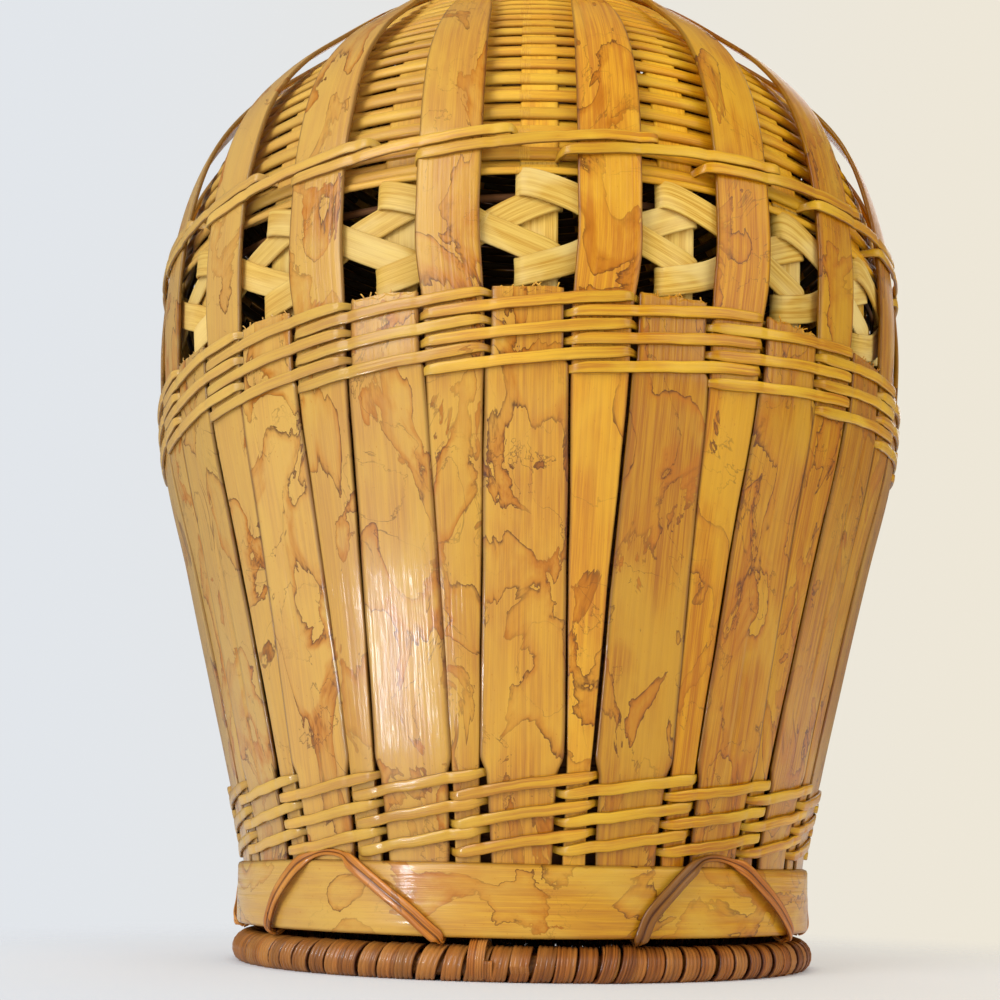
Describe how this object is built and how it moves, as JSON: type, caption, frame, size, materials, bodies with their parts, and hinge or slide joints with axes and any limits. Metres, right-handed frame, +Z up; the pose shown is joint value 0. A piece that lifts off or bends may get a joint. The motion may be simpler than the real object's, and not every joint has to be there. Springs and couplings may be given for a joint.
{
  "type": "wicker bottle basket",
  "caption": "Bottle-shaped bamboo flower basket: flat ribs and staves held by twined bands over a woven inner basket, with openwork at the belly, a narrow neck and a cane-wound foot ring.",
  "frame": {"origin": "centre of the foot ring's underside, at floor level", "axes": "+Z up along the basket's axis to the mouth, -Y to the pictured front"},
  "size_m": [0.1906, 0.1906, 0.2918],
  "materials": {
    "rib": "mottled tiger bamboo under thin glossy lacquer, faint grain along the rib, dark water-line stains",
    "stave": "mottled tiger bamboo under thin glossy lacquer, splits along the grain, dark water-line stains",
    "weaver": "split bamboo weavers, satin lacquer",
    "openwork_strip": "pale split bamboo, nearly matt, fine fibres along the strip",
    "wicker": "round split wefts, satin lacquer",
    "inner": "darker woven bamboo, matt",
    "hoop": "one broad lacquered bamboo strip with orange stains, glossy",
    "cane": "reddish brown rattan cane, satin"
  },
  "bodies": {
    "root": {"base_hoop": "hoop", "foot_ring_core": "inner", "foot_ring_winding": "cane", "inner_basket": "inner", "lower_band_weaver_a": "weaver", "lower_band_weaver_b": "weaver", "middle_band_weaver_a": "weaver", "middle_band_weaver_b": "weaver", "mouth_ring": "cane", "openwork_strip_a": "openwork_strip", "openwork_strip_b": "openwork_strip", "rib_01": "rib", "rib_02": "rib", "rib_03": "rib", "rib_04": "rib", "rib_05": "rib", "rib_06": "rib", "rib_07": "rib", "rib_08": "rib", "rib_09": "rib", "rib_10": "rib", "rib_11": "rib", "rib_12": "rib", "rib_13": "rib", "rib_14": "rib", "rib_15": "rib", "rib_16": "rib", "rib_17": "rib", "rib_18": "rib", "rib_19": "rib", "rib_20": "rib", "shoulder_wicker": "wicker", "stave_01": "stave", "stave_02": "stave", "stave_03": "stave", "stave_04": "stave", "stave_05": "stave", "stave_06": "stave", "stave_07": "stave", "stave_08": "stave", "stave_09": "stave", "stave_10": "stave", "stave_11": "stave", "stave_12": "stave", "stave_13": "stave", "stave_14": "stave", "stave_15": "stave", "stave_16": "stave", "stave_17": "stave", "stave_18": "stave", "stave_19": "stave", "stave_20": "stave", "tie_01": "cane", "tie_02": "cane", "tie_03": "cane", "tie_04": "cane", "tie_05": "cane", "upper_band_weaver_a": "weaver", "upper_band_weaver_b": "weaver"}
  },
  "joints": []
}
